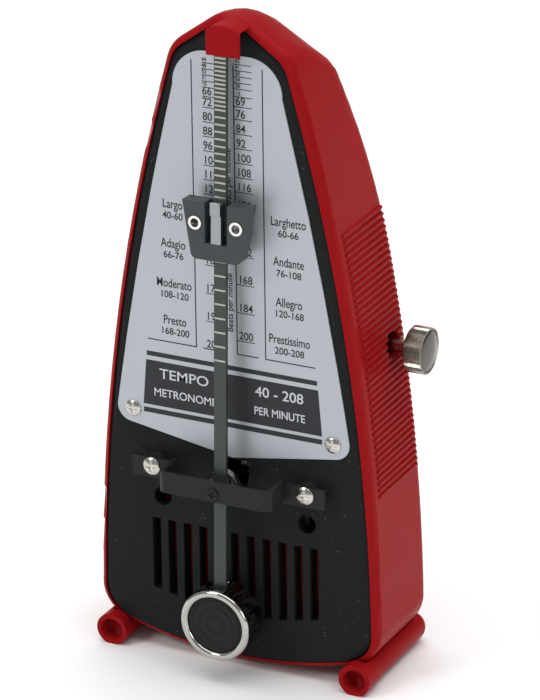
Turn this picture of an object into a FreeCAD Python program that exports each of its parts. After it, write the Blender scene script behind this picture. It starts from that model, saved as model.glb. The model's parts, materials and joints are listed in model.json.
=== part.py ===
import FreeCAD, Part
import math
import os
import Sketcher

# Wind-up metronome. Millimetres, +X to the knob side, +Y to the back, +Z up.
# Pieces are drawn with Y = 0 at the front of the feet and Z = 0 on the table,
# then every node is moved by the same shift so the box centre is the origin.

V = FreeCAD.Vector
os.makedirs("parts", exist_ok=True)
doc = FreeCAD.newDocument("Metronome")
sheet = doc.addObject("Spreadsheet::Sheet", "Dims")

DIMS = [
    # case outline, half widths and heights
    ("tall", 160.0), ("roof_edge_x", 5.2), ("roof_edge_z", 158.35), ("apex_radius", 9.1),
    ("shoulder_top_x", 12.9), ("shoulder_top_z", 152.9), ("shoulder_radius", 9.0),
    ("shoulder_x", 16.2), ("shoulder_z", 148.0), ("side_radius", 500.0),
    ("hip_x", 36.4), ("hip_z", 14.0), ("corner_radius", 9.0),
    ("corner_x", 30.0), ("corner_z", 5.5), ("belly_radius", 98.0),
    # case depth
    ("rim_front", 3.0), ("case_back", 32.0), ("wall", 1.6), ("rim_round", 2.6),
    ("edge_round", 4.0), ("back_knee_z", 95.0), ("back_mid_y", 29.0), ("back_mid_z", 129.0),
    ("back_high_y", 24.4), ("back_high_z", 147.0), ("back_radius", 165.0),
    ("nape_y", 19.0), ("nape_z", 161.0), ("nape_radius", 40.0),
    ("roof_flat_y", 6.0), ("roof_fall", 0.023), ("roof_spread", 0.26),
    # wall behind the sound slots, ribs moulded on both sides
    ("baffle_y", 12.0), ("baffle_top_z", 35.4),
    ("rib_count", 42.0), ("rib_bottom_z", 48.0), ("rib_pitch", 1.52), ("rib_proud", 0.5),
    ("rib_front", 7.8), ("rib_back", 28.3),
    # feet
    ("foot_x", 31.8), ("foot_z", 3.8), ("collar_r", 3.95), ("collar_long", 6.5),
    ("foot_r", 3.6), ("foot_long", 35.0), ("foot_bore_r", 2.7), ("foot_bore_deep", 3.0),
    ("pad_wide", 2.4), ("pad_long", 6.0), ("foot_gap", 0.5),
    # front panel
    ("panel_gap", 0.12), ("panel_edge_y", 4.2), ("panel_back", 6.2), ("plateau_y", 2.8),
    ("bevel_wide", 2.1), ("lip_drop", 1.6),
    ("slot_count", 11.0), ("slot_pitch", 4.1), ("slot_wide", 2.2), ("slot_top_z", 34.1),
    ("slot_low_z", 13.3), ("slot_arc_r", 80.0), ("hole_x", 18.65), ("hole_z", 40.0),
    ("hole_r", 2.3), ("mouth_top", 4.6), ("mouth_low", 3.2), ("mouth_z", 53.0),
    ("mouth_tall", 7.5),
    # scale plate
    ("plate_thick", 0.4), ("plate_top_z", 151.3), ("plate_flat_x", 5.0), ("plate_top_r", 8.5),
    ("plate_neck_x", 13.7), ("plate_neck_z", 142.5), ("plate_hip_x", 29.7),
    ("plate_hip_z", 62.5), ("plate_side_r", 900.0), ("plate_corner_r", 3.9),
    ("plate_low_x", 27.0), ("plate_low_z", 58.0), ("plate_tip_z", 53.5),
    ("plate_screw_x", 25.64), ("plate_screw_z", 61.4),
    # screws
    ("screw_r", 1.0), ("small_head_r", 2.0), ("bridge_head_r", 2.2), ("head_tall", 0.9),
    ("screw_deep", 5.8), ("fit_gap", 0.05),
    # pivot, bridge and pendulum
    ("pivot_z", 48.4), ("bridge_x", 14.5), ("bridge_y", -7.9), ("bridge_z", 48.9),
    ("bridge_tall", 5.0), ("strip_thick", 1.0), ("bend_r", 1.2), ("flange_x", 24.8), ("flange_y", -0.3),
    ("flange_drop", 0.6), ("bridge_screw_x", 19.75), ("bridge_screw_z", 48.75),
    ("boss_r", 2.6), ("bearing_screw_r", 1.25), ("bearing_screw_deep", 2.4),
    ("tilt", 2.03), ("rod_wide", 3.1), ("rod_thick", 1.0), ("rod_front_y", -4.22),
    ("rod_low_z", 18.5), ("rod_long", 137.0), ("hub_r", 4.0), ("hub_long", 1.8),
    ("arbor_r", 0.9), ("arbor_back_y", 26.6),
    ("cup_z", 15.1), ("cup_r", 8.83), ("cup_front_y", -8.6), ("cup_deep", 7.5),
    ("cup_lip", 1.9), ("cup_recess", 1.6), ("insert_thick", 0.9),
    # sliding weight
    ("weight_top_z", 117.9), ("weight_tall", 13.6), ("weight_top_x", 8.45),
    ("weight_low_x", 6.15), ("weight_front", 2.2), ("weight_back", 0.9), ("slide_gap", 0.06),
    ("weight_slot_x", 2.6), ("weight_slot_wide", 1.5), ("weight_slot_deep", 9.6),
    ("rivet_x", 5.15), ("rivet_drop", 5.0), ("rivet_r", 1.65), ("rivet_hole_r", 1.0),
    ("back_plate_thick", 0.5), ("pad_tall", 2.8), ("weight_corner_r", 1.4),
    # hood over the pendulum tip
    ("hood_left", -3.0), ("hood_right", 5.3), ("hood_front", -2.0), ("hood_low_z", 152.0),
    ("hood_top_z", 159.4), ("hood_thick", 0.9), ("hood_roof", 1.6), ("hood_dome", 6.0),
    # winding and going train, all with their axes along X
    ("key_y", 22.8), ("key_z", 79.4), ("shaft_r", 1.6), ("key_hole_r", 3.25),
    ("knob_r", 5.5), ("knob_x", 35.8), ("knob_long", 5.3), ("knob_dome", 0.9),
    ("module", 0.52), ("great_teeth", 24.0), ("second_pinion", 12.0),
    ("second_teeth", 26.0), ("third_pinion", 12.0), ("third_teeth", 32.0),
    ("escape_pinion", 16.0), ("lean_one", 12.0), ("lean_two", 10.0), ("train_arbor_r", 0.7),
    ("frame_left", -13.5), ("frame_right", 16.0), ("frame_thick", 1.5), ("frame_back", 29.4),
    ("frame_low", 36.0), ("frame_top", 91.0), ("pillar_r", 1.5),
    ("barrel_left", -9.0), ("barrel_r", 5.5), ("barrel_wall", 0.6), ("great_x", 1.0),
    ("gear_thick", 1.3), ("second_x", 5.0), ("third_x", 11.0), ("leaf_over", 0.7),
    ("ratchet_x", -11.5), ("ratchet_r", 4.5), ("ratchet_teeth", 16.0),
    ("click_y", 13.4), ("click_z", 82.0), ("click_gap", 0.45),
    ("escape_x", 2.8), ("escape_r", 6.2), ("escape_wide", 2.7), ("escape_teeth", 15.0),
    ("flag_reach", 2.3), ("flag_long", 1.3), ("potence_x", 7.4),
]
number = dict(DIMS)
for row, (alias, size) in enumerate(DIMS, 1):
    sheet.set("A%d" % row, alias)
    sheet.set("B%d" % row, str(size))
    sheet.setAlias("B%d" % row, alias)
doc.recompute()

probe = doc.addObject("App::FeaturePython", "Probe")
probe.addProperty("App::PropertyFloat", "Result")


def named(text):
    """Expression text with every sheet name given its full path."""
    words = []
    word = ""
    for letter in text + " ":
        if letter.isalpha() or letter == "_":
            word += letter
            continue
        words.append("Dims." + word if word in number else word)
        words.append(letter)
        word = ""
    return "".join(words).strip()


def value(text):
    """The number that an expression gives now."""
    probe.setExpression("Result", named(text))
    probe.recompute()
    return probe.Result


places = {}


def bind(thing, **sizes):
    """Bind properties to sheet expressions; x, y, z stand for the place."""
    for key, text in sizes.items():
        path = key
        if key in ("x", "y", "z"):
            path = "Placement.Base." + key
            places[(thing.Name, key)] = str(text)
        thing.setExpression(path, named(str(text)))
    return thing


def turn(thing, angle, axis):
    """Turn a piece about an axis through its own origin by an expression."""
    thing.Placement = FreeCAD.Placement(thing.Placement.Base, axis, 1)
    thing.setExpression("Placement.Rotation.Angle", named(str(angle)))
    return thing


def box(x, y, z, length, width, height):
    return bind(doc.addObject("Part::Box", "Box"), x=x, y=y, z=z,
                Length=length, Width=width, Height=height)


AXES = {"X": V(0, 1, 0), "Y": V(-1, 0, 0)}


def rod(axis, x, y, z, radius, long):
    """Cylinder from a point along +X, +Y or +Z."""
    thing = doc.addObject("Part::Cylinder", "Cylinder")
    if axis in AXES:
        thing.Placement = FreeCAD.Placement(V(0, 0, 0), AXES[axis], 90)
    return bind(thing, x=x, y=y, z=z, Radius=radius, Height=long)


def cut(base, tool):
    thing = doc.addObject("Part::Cut", "Cut")
    thing.Base = base
    thing.Tool = tool
    return thing


def fuse(*shapes):
    thing = doc.addObject("Part::MultiFuse", "Fuse")
    thing.Shapes = list(shapes)
    return thing


def common(*shapes):
    thing = doc.addObject("Part::MultiCommon", "Common")
    thing.Shapes = list(shapes)
    return thing


def arc(start, end, radius):
    """Arc from start to end, bowed to the right of travel for a positive radius."""
    across = end - start
    middle = (start + end) * 0.5
    half = across.Length / 2
    big = max(abs(radius), half * 1.0001)
    rise = big - math.sqrt(big * big - half * half)
    side = V(across.y, -across.x, 0).normalize()
    return Part.Arc(start, middle + side * math.copysign(rise, radius), end)


def outline(plane, corners, shift="0"):
    """Closed sketch. Each corner: x text, y text, None or radius text of its next edge."""
    sketch = doc.addObject("Sketcher::SketchObject", "Outline")
    if plane == "XZ":
        sketch.Placement = FreeCAD.Placement(V(0, 0, 0), V(1, 0, 0), 90)
        bind(sketch, y=shift)
    else:
        turned = FreeCAD.Rotation(V(0, 1, 0), V(0, 0, 1), V(1, 0, 0), "ZXY")
        sketch.Placement = FreeCAD.Placement(V(0, 0, 0), turned)
        bind(sketch, x=shift)
    points = [V(value(x), value(y), 0) for x, y, _ in corners]
    count = len(corners)
    for i, (_, _, bow) in enumerate(corners):
        start, end = points[i], points[(i + 1) % count]
        edge = Part.LineSegment(start, end) if bow is None else arc(start, end, value(bow))
        sketch.addGeometry(edge)
    for i in range(count):
        sketch.addConstraint(Sketcher.Constraint("Coincident", i, 2 if corners[i][2] is None
                             or value(corners[i][2]) > 0 else 1, (i + 1) % count,
                             1 if corners[(i + 1) % count][2] is None
                             or value(corners[(i + 1) % count][2]) > 0 else 2))
    for i, (x, y, bow) in enumerate(corners):
        end = 1 if bow is None or value(bow) > 0 else 2
        for kind, text, size in (("DistanceX", x, points[i].x), ("DistanceY", y, points[i].y)):
            place = sketch.addConstraint(Sketcher.Constraint(kind, -1, 1, i, end, size))
            sketch.setExpression("Constraints[%d]" % place, named(text))
        if bow is not None:
            radius = sketch.Geometry[i].Radius
            place = sketch.addConstraint(Sketcher.Constraint("Radius", i, radius))
            sketch.setExpression("Constraints[%d]" % place, named("abs(%s)" % bow))
    return sketch


def extrude(sketch, axis, long, taper=None):
    thing = doc.addObject("Part::Extrusion", "Extrusion")
    thing.Base = sketch
    thing.DirMode = "Custom"
    thing.Dir = axis
    thing.Solid = True
    bind(thing, LengthFwd=long)
    if taper is not None:
        bind(thing, TaperAngle=taper)
    return thing


def offset(sketch, gap):
    thing = doc.addObject("Part::Offset2D", "Offset")
    thing.Source = sketch
    thing.Join = 2
    return bind(thing, Value=gap)


ALONG_X = V(1, 0, 0)
ALONG_Y = V(0, 1, 0)
ALONG_Z = V(0, 0, 1)
nodes = []


def node(name, thing, tilted=False):
    """Name a finished piece. A tilted one is drawn with the rod's front face as Y = 0."""
    thing.Label = name
    nodes.append((name, thing, tilted))
    return thing


def both_sides(right, floor):
    """Full outline from its right half, bottom to top; floor is the bow of the bottom edge."""
    left = []
    for i in range(len(right) - 1, -1, -1):
        x, y, _ = right[i]
        bow = right[i - 1][2] if i else floor
        left.append(("-(%s)" % x, y, bow))
    return right + left


# ---------------------------------------------------------------- case shell
def case_outline(depth, inset="0", drop="0"):
    """Case outline at a depth, moved in by an inset, with its roof lowered by a drop."""
    lean = drop + " * roof_spread"
    right = [
        ("corner_x - %s * 0.3" % inset, "corner_z + %s * 0.95" % inset,
         "corner_radius - " + inset),
        ("hip_x - " + inset, "hip_z", "side_radius - " + inset),
        ("shoulder_x + %s - %s * 0.96" % (lean, inset),
         "shoulder_z - %s - %s * 0.28" % (drop, inset), "shoulder_radius - " + inset),
        ("shoulder_top_x + %s - %s * 0.58" % (lean, inset),
         "shoulder_top_z - %s - %s * 0.81" % (drop, inset), None),
        ("roof_edge_x - %s * 0.58" % inset, "roof_edge_z - %s - %s * 0.81" % (drop, inset),
         "apex_radius - " + inset),
    ]
    return outline("XZ", both_sides(right, "belly_radius + " + inset), depth)


side_outline = outline("YZ", [
    ("rim_front", "0", None),
    ("case_back", "0", None),
    ("case_back", "back_knee_z", "back_radius"),
    ("back_mid_y", "back_mid_z", "back_radius"),
    ("back_high_y", "back_high_z", "nape_radius"),
    ("nape_y", "nape_z", None),
    ("rim_front", "nape_z", None),
], "-hip_x * 1.5")


def loft(sections):
    """Solid through closed outlines."""
    thing = doc.addObject("Part::Loft", "Loft")
    thing.Sections = sections
    thing.Solid = True
    return thing


def hull(inset):
    """Case body behind the rim: its roof falls ever more steeply towards the back."""
    sections = []
    for i in range(6):
        back = "(case_back - roof_flat_y) * %d / 5" % i
        sections.append(case_outline("roof_flat_y + " + back, inset,
                                     "(roof_fall * (%s)^2)" % back))
    return loft(sections)


front_outline = case_outline("rim_front")
collar = extrude(front_outline, ALONG_Y, "roof_flat_y - rim_front")
profile = extrude(side_outline, ALONG_X, "hip_x * 3")
outer = common(fuse(collar, hull("0")), profile)

inner_front = case_outline("rim_front", "wall")
inner_slab = hull("wall")
inner_side = extrude(offset(side_outline, "-wall"), ALONG_X, "hip_x * 3")
mouth_slab = extrude(inner_front, ALONG_Y, "roof_flat_y - rim_front")
hollow = fuse(common(inner_slab, inner_side), mouth_slab)

channels = []
sheaths = []
for side in ("-", ""):
    place = (side + "foot_x", "collar_long + 1", "foot_z")
    channels.append(rod("Y", *place, "foot_r + foot_gap", "foot_long"))
    sheaths.append(rod("Y", *place, "foot_r + foot_gap + wall", "foot_long"))
hollow = cut(hollow, fuse(*sheaths))


def rounded(solid, wanted, radius):
    """Fillet the edges that a test picks."""
    thing = doc.addObject("Part::Fillet", "Fillet")
    thing.Base = solid
    doc.recompute()
    size = value(radius)
    edges = enumerate(solid.Shape.Edges, 1)
    thing.Edges = [(i, size, size) for i, edge in edges if wanted(edge)]
    return thing


CHORD = "sqrt((hip_x - shoulder_x)^2 + (shoulder_z - hip_z)^2)"
SINK = "sqrt(side_radius^2 - (%s)^2 / 4)" % CHORD
SIDE_CX = "((hip_x + shoulder_x) / 2 - %s * (shoulder_z - hip_z) / %s)" % (SINK, CHORD)
SIDE_CZ = "((hip_z + shoulder_z) / 2 - %s * (hip_x - shoulder_x) / %s)" % (SINK, CHORD)


def side_x(height):
    """Half width of the case at a height on its curved side."""
    return "(%s + sqrt(side_radius^2 - (%s - %s)^2))" % (SIDE_CX, height, SIDE_CZ)


def at_rim(edge):
    bounds = edge.BoundBox
    return bounds.YMax < number["rim_front"] + 0.01 and bounds.YMin > number["rim_front"] - 0.01


def at_back(edge):
    """Edges round the back face, but not the seams that cross it or run forward from it."""
    bounds = edge.BoundBox
    if bounds.YMin < number["roof_flat_y"] + 3:
        return False
    return bounds.ZLength > 0.001


outer_round = rounded(rounded(outer, at_back, "edge_round"), at_rim, "rim_round")
shell = cut(cut(outer_round, hollow), fuse(*channels))

pieces = [shell]
for i in range(int(number["rib_count"])):
    height = "(rib_bottom_z + %d * rib_pitch)" % i
    reach = side_x(height) + " - 0.1"
    for side in ("-", ""):
        pieces.append(rod("Y", "%s(%s)" % (side, reach), "rib_front", height,
                          "rib_proud", "rib_back - rib_front"))
hood_lip = box("hood_left", "hood_front", "hood_low_z", "hood_right - hood_left",
               "hood_thick", "hood_top_z - hood_low_z")
hood_roof = box("hood_left", "hood_front", "hood_top_z - hood_roof",
                "hood_right - hood_left", "rim_front - hood_front + wall / 2", "hood_roof")
hood_round = rod("Y", "(hood_left + hood_right) / 2", "hood_front - 1",
                 "hood_top_z - hood_dome", "hood_dome", "wall * 8")


def at_hood_front(edge):
    return edge.BoundBox.YMax < number["hood_front"] + 0.01


hood = common(fuse(hood_lip, hood_roof), hood_round)
pieces.append(rounded(hood, at_hood_front, "hood_thick * 0.6"))
key_hole = rod("X", "hip_x / 2", "key_y", "key_z", "key_hole_r", "hip_x")
node("case_shell", cut(fuse(*pieces), key_hole))

node("sound_baffle", common(hollow, box("-hip_x", "baffle_y", "0", "hip_x * 2",
                                        "wall * 0.8", "baffle_top_z")))

# ---------------------------------------------------------------- feet
for name, side in (("left_foot", "-"), ("right_foot", "")):
    x = side + "foot_x"
    tube = rod("Y", x, "0", "foot_z", "foot_r", "foot_long - foot_r")
    ball = bind(doc.addObject("Part::Sphere", "Sphere"), x=x, y="foot_long - foot_r",
                z="foot_z", Radius="foot_r")
    collar = rod("Y", x, "0", "foot_z", "collar_r", "collar_long")
    pads = []
    for y in ("0", "foot_long - foot_r - pad_long / 2"):
        pads.append(box(x + " - pad_wide / 2", y, "0", "pad_wide", "pad_long", "foot_z"))
    low = box(x + " - foot_r * 2", "-foot_r", "-foot_r * 2", "foot_r * 4",
              "foot_long * 2", "foot_r * 2")
    bore = rod("Y", x, "-1", "foot_z", "foot_bore_r", "foot_bore_deep + 1")
    solid = cut(cut(fuse(tube, ball, collar, *pads), fuse(low, bore)), outer)
    node(name, solid)

# ---------------------------------------------------------------- front panel
panel_outline = case_outline("rim_front", "(wall + panel_gap)")
slab = extrude(panel_outline, ALONG_Y, "panel_back - rim_front")
front_skim = box("-hip_x * 2", "rim_front - 1", "-1", "hip_x * 4",
                 "panel_edge_y - rim_front + 1", "tall * 2")
ridge = both_sides([
    ("corner_x - 1.2", "corner_z + 1.7", "corner_radius"),
    ("hip_x - 3.2", "hip_z + 1", "side_radius"),
    ("shoulder_x - 3", "shoulder_z - 1.5", "shoulder_radius"),
    ("shoulder_top_x - 2.6", "shoulder_top_z - 2.6", None),
    ("roof_edge_x - 0.6", "roof_edge_z - 4", "apex_radius"),
], "belly_radius")
foot_of_ridge = both_sides([
    ("corner_x - 0.9", "corner_z + 1", "corner_radius"),
    ("hip_x - 3.2 + bevel_wide", "hip_z + 1", "side_radius"),
    ("shoulder_x - 3 + bevel_wide", "shoulder_z - 1.5 + bevel_wide / 3", "shoulder_radius"),
    ("shoulder_top_x - 2.6 + bevel_wide * 0.6", "shoulder_top_z - 2.6 + bevel_wide * 0.8", None),
    ("roof_edge_x - 0.6", "roof_edge_z - 4 + bevel_wide", "apex_radius"),
], "belly_radius")
plateau = doc.addObject("Part::Loft", "Plateau")
plateau.Sections = [outline("XZ", ridge, "plateau_y"),
                    outline("XZ", foot_of_ridge, "panel_edge_y + 0.01")]
plateau.Solid = True
plateau.Ruled = True
whole = extrude(panel_outline, ALONG_Y, "panel_back - rim_front")
bind(whole, y="plateau_y - rim_front")
panel = fuse(cut(slab, front_skim), common(plateau, whole))
openings = []
slots = []
for i in range(int(number["slot_count"])):
    x = "(%d - (slot_count - 1) / 2) * slot_pitch - slot_wide / 2" % i
    slots.append(box(x, "-1", "slot_low_z - 2", "slot_wide", "panel_back + 4",
                     "slot_top_z - slot_low_z + 2"))
half = "slot_pitch * slot_count / 2"
band = outline("XZ", [
    (half, "slot_low_z + 3.1", None), (half, "slot_top_z", None),
    ("-" + half, "slot_top_z", None), ("-" + half, "slot_low_z + 3.1", "slot_arc_r"),
], "-1")
openings.append(common(fuse(*slots), extrude(band, ALONG_Y, "panel_back + 4")))
for side in ("-", ""):
    openings.append(rod("Y", side + "hole_x", "-1", "hole_z", "hole_r", "panel_back + 4"))
    openings.append(rod("Y", side + "plate_screw_x", "-1", "plate_screw_z",
                        "screw_r + fit_gap", "panel_back + 4"))
mouth = outline("XZ", [
    ("mouth_low", "mouth_z - mouth_tall", None), ("mouth_top", "mouth_z", None),
    ("-mouth_top", "mouth_z", None), ("-mouth_low", "mouth_z - mouth_tall", None),
], "-1")
openings.append(extrude(mouth, ALONG_Y, "panel_back + 4"))
bosses = []
for side in ("-", ""):
    bosses.append(rod("Y", side + "bridge_screw_x", "flange_y + strip_thick",
                      "bridge_screw_z", "boss_r", "panel_edge_y - flange_y"))
    openings.append(rod("Y", side + "bridge_screw_x", "-3", "bridge_screw_z",
                        "screw_r + fit_gap", "panel_back + 4"))
node("front_panel", cut(fuse(panel, *bosses), fuse(*openings)))

# ---------------------------------------------------------------- scale plate
plate_face = outline("XZ", both_sides([
    ("0.01", "plate_tip_z", None),
    ("plate_low_x", "plate_low_z", "plate_corner_r"),
    ("plate_hip_x", "plate_hip_z", "plate_side_r"),
    ("plate_neck_x", "plate_neck_z", "plate_top_r"),
    ("plate_flat_x", "plate_top_z", None),
], None), "plateau_y - plate_thick")
plate = extrude(plate_face, ALONG_Y, "plate_thick")
screw_holes = [rod("Y", side + "plate_screw_x", "0", "plate_screw_z",
                   "screw_r + fit_gap", "panel_back") for side in ("-", "")]
node("scale_plate", cut(plate, fuse(*screw_holes)))


def screw(x, y, z, head, thread, deep):
    """Domed screw whose head rests on y, with a cross recess."""
    top = bind(doc.addObject("Part::Sphere", "Sphere"), x=x, z=z, Radius=head + " * 1.7",
               y="%s - head_tall + %s * 1.7" % (y, head))
    rim = rod("Y", x, y + " - head_tall", z, head, "head_tall")
    shank = rod("Y", x, y, z, thread, deep)
    body = fuse(common(top, rim), shank)
    bars = []
    for wide, high in (("%s * 1.2", "%s * 0.28"), ("%s * 0.28", "%s * 1.2")):
        wide, high = wide % head, high % head
        bars.append(box("%s - %s / 2" % (x, wide), y + " - head_tall - 1",
                        "%s - %s / 2" % (z, high), wide, "head_tall / 2 + 1", high))
    return cut(body, fuse(*bars))


plate_screws = [screw(side + "plate_screw_x", "plateau_y - plate_thick", "plate_screw_z",
                      "small_head_r", "screw_r", "panel_back - plateau_y")
                for side in ("-", "")]
node("plate_screws", fuse(*plate_screws))

# ---------------------------------------------------------------- bridge
low = "bridge_z - bridge_tall / 2"
parts = [box("-bridge_x", "bridge_y", low, "bridge_x * 2", "strip_thick", "bridge_tall")]
for side in (-1, 1):
    inner = "-bridge_x" if side < 0 else "bridge_x - strip_thick"
    flange = "-flange_x" if side < 0 else "bridge_x - strip_thick"
    parts.append(box(inner, "bridge_y", low, "strip_thick",
                     "flange_y - bridge_y + strip_thick", "bridge_tall"))
    parts.append(box(flange, "flange_y", low + " - flange_drop",
                     "flange_x - bridge_x + strip_thick", "strip_thick", "bridge_tall"))
drills = [rod("Y", side + "bridge_screw_x", "flange_y - 1", "bridge_screw_z",
              "screw_r + fit_gap", "strip_thick + 2") for side in ("-", "")]
drills.append(rod("Y", "0", "bridge_y - 1", "pivot_z", "bearing_screw_r + fit_gap",
                  "strip_thick + 2"))


def at_bend(x, y):
    """Upright edges of the bridge strip at a place on either side."""
    def test(edge):
        bounds = edge.BoundBox
        if bounds.ZLength < 1 or bounds.XLength > 0.01 or bounds.YLength > 0.01:
            return False
        return abs(abs(bounds.XMin) - x) < 0.01 and abs(bounds.YMin - y) < 0.01
    return test


thick = number["strip_thick"]
bent = rounded(fuse(*parts), at_bend(number["bridge_x"], number["bridge_y"]),
               "bend_r + strip_thick")
bent = rounded(bent, at_bend(number["bridge_x"] - thick, number["bridge_y"] + thick), "bend_r")
node("bridge", cut(bent, fuse(*drills)))
node("bridge_screws", fuse(*[screw(side + "bridge_screw_x", "flange_y", "bridge_screw_z",
                                   "bridge_head_r", "screw_r", "screw_deep")
                             for side in ("-", "")]))
bearing = screw("0", "bridge_y", "pivot_z", "bearing_screw_r * 1.15", "bearing_screw_r",
                "bearing_screw_deep")
arbor_front = "bridge_y + strip_thick"
node("bearing_screw", cut(bearing, rod("Y", "0", arbor_front, "pivot_z",
                                       "arbor_r + fit_gap", "bearing_screw_deep")))

# ---------------------------------------------------------------- pendulum
# The rod leans back a little. Rod and weight are drawn upright, with Z = 0 at the pivot
# and Y = 0 on the rod's front face, and are leaned together at the end.
swing = box("-rod_wide / 2", "0", "rod_low_z - pivot_z", "rod_wide", "rod_thick", "rod_long")
node("pendulum_rod", cut(swing, rod("Y", "0", "-1", "0", "arbor_r + fit_gap * 2", "3")), True)
arbor_hole = rod("Y", "0", "bridge_y", "pivot_z", "arbor_r + fit_gap", "-bridge_y * 2")
hub_y = "rod_front_y + rod_thick + 0.15"
node("pendulum_hub", cut(rod("Y", "0", hub_y, "pivot_z", "hub_r", "hub_long"), arbor_hole))
node("verge_arbor", rod("Y", "0", arbor_front + " + 0.3", "pivot_z", "arbor_r",
                        "arbor_back_y - bridge_y - strip_thick - 0.3"))


def at_cup_front(edge):
    return edge.BoundBox.YMax < number["cup_front_y"] + 0.01


cup = rod("Y", "0", "cup_front_y", "cup_z", "cup_r", "cup_deep")
recess = rod("Y", "0", "cup_front_y - 1", "cup_z", "cup_r - cup_lip", "cup_recess + 1")
rod_socket = box("-rod_wide / 2 - fit_gap",
                 "rod_front_y - (pivot_z - rod_low_z) * tan(tilt) - fit_gap * 2",
                 "rod_low_z - fit_gap * 2", "rod_wide + fit_gap * 2",
                 "rod_thick + (cup_z + cup_r - rod_low_z) * tan(tilt) + fit_gap * 4", "cup_r * 2")
cup = rounded(cut(cup, recess), at_cup_front, "cup_lip / 2 - 0.1")
node("lower_weight_cup", cut(cup, rod_socket))
node("lower_weight_insert", rod("Y", "0", "cup_front_y + cup_recess - insert_thick", "cup_z",
                                "cup_r - cup_lip - fit_gap", "insert_thick"))

# ---------------------------------------------------------------- sliding weight
high = "(weight_top_z - pivot_z)"
low = "(weight_top_z - pivot_z - weight_tall)"
shape = both_sides([
    ("weight_low_x - weight_corner_r", low, "weight_corner_r * 1.1"),
    ("weight_low_x + 0.2", low + " + weight_corner_r", None),
    ("weight_top_x", high, None),
], None)
block = extrude(outline("XZ", shape, "-weight_front"), ALONG_Y,
                "weight_front + rod_thick + slide_gap")
channel = box("-rod_wide / 2 - slide_gap", "-slide_gap", low + " - 1",
              "rod_wide + slide_gap * 2", "weight_front * 3", "weight_tall + 2")
reach = "(weight_slot_x / 2 + weight_slot_wide)"
gap = box("-" + reach, "-weight_front * 2", high + " - weight_slot_deep", reach + " * 2",
          "weight_front * 4", "weight_tall")
rivet_z = high + " - rivet_drop"
drills = [rod("Y", side + "rivet_x", "-weight_front * 2", rivet_z,
              "rivet_r * 0.75 + fit_gap", "weight_front * 4") for side in ("-", "")]
node("sliding_weight", cut(block, fuse(channel, gap, *drills)), True)
back = extrude(outline("XZ", shape, "rod_thick + slide_gap"), ALONG_Y, "back_plate_thick")
node("weight_back_plate", cut(back, fuse(*drills)), True)
tongue = box("-weight_slot_x / 2", "-weight_front", high + " - weight_slot_deep",
             "weight_slot_x", "weight_front - slide_gap", "weight_slot_deep")
pad = box("-weight_slot_x / 2", "-weight_front - 0.5", high + " - pad_tall", "weight_slot_x",
          "0.5", "pad_tall + 0.4")
node("weight_spring", fuse(tongue, pad), True)
rivets = []
for side in ("-", ""):
    x = side + "rivet_x"
    collar = rod("Y", x, "-weight_front - 0.35", rivet_z, "rivet_r", "0.35")
    tube = rod("Y", x, "-weight_front", rivet_z, "rivet_r * 0.75",
               "weight_front + rod_thick + slide_gap + back_plate_thick")
    eye = rod("Y", x, "-weight_front * 2", rivet_z, "rivet_hole_r", "weight_front * 5")
    rivets.append(cut(fuse(collar, tube), eye))
node("weight_rivets", fuse(*rivets), True)

# ---------------------------------------------------------------- going train
ONE = "((great_teeth + second_pinion) * module / 2)"
TWO = "((second_teeth + third_pinion) * module / 2)"
THREE = "((third_teeth + escape_pinion) * module / 2)"
SECOND_Y = "(key_y - %s * sin(lean_one))" % ONE
SECOND_Z = "(key_z - %s * cos(lean_one))" % ONE
THIRD_Y = "(%s - %s * sin(lean_two))" % (SECOND_Y, TWO)
THIRD_Z = "(%s - %s * cos(lean_two))" % (SECOND_Z, TWO)
ESCAPE_Y = "(%s - sqrt(%s^2 - (%s - pivot_z)^2))" % (THIRD_Y, THREE, THIRD_Z)
PRESSURE = math.radians(25)
SLACK = 0.06


def polar(radius, angle):
    return V(0, radius * math.cos(angle), radius * math.sin(angle))


def gear(x, y, z, teeth, long, bore, facing):
    """Involute gear along X with a tooth centred on the facing angle."""
    count = int(value(teeth))
    pitch = value("module") * count / 2
    base = pitch * math.cos(PRESSURE)
    tip = pitch + value("module") * 0.8
    root = pitch - value("module") * 1.05
    start = max(base, root)

    def half_angle(radius):
        roll = math.acos(min(1.0, base / radius))
        spread = (math.pi / 2 - SLACK) / count + math.tan(PRESSURE) - PRESSURE
        return spread - math.tan(roll) + roll

    edges = []
    middle = (start + tip) / 2
    for i in range(count):
        centre = facing + 2 * math.pi * i / count
        after = facing + 2 * math.pi * (i + 1) / count
        low_right = polar(root, centre - half_angle(start))
        right = [polar(r, centre - half_angle(r)) for r in (start, middle, tip)]
        left = [polar(r, centre + half_angle(r)) for r in (tip, middle, start)]
        low_left = polar(root, centre + half_angle(start))
        following = polar(root, after - half_angle(start))
        if start - root > 0.001:
            edges.append(Part.makeLine(low_right, right[0]))
        edges.append(Part.Arc(*right).toShape())
        edges.append(Part.Arc(right[2], polar(tip, centre), left[0]).toShape())
        edges.append(Part.Arc(*left).toShape())
        if start - root > 0.001:
            edges.append(Part.makeLine(left[2], low_left))
        valley = polar(root, (centre + after) / 2)
        edges.append(Part.Arc(low_left, valley, following).toShape())
    solid = Part.Face(Part.Wire(edges)).extrude(V(value(long), 0, 0))
    if bore:
        solid = solid.cut(Part.makeCylinder(value(bore), value(long) * 3,
                                            V(-value(long), 0, 0), ALONG_X))
    thing = doc.addObject("Part::Feature", "Gear")
    thing.Shape = solid
    return bind(thing, x=x, y=y, z=z)


def direction(y_from, z_from, y_to, z_to):
    return math.atan2(value(z_to) - value(z_from), value(y_to) - value(y_from))


one = direction("key_y", "key_z", SECOND_Y, SECOND_Z)
two = direction(SECOND_Y, SECOND_Z, THIRD_Y, THIRD_Z)
three = direction(THIRD_Y, THIRD_Z, ESCAPE_Y, "pivot_z")


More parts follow.
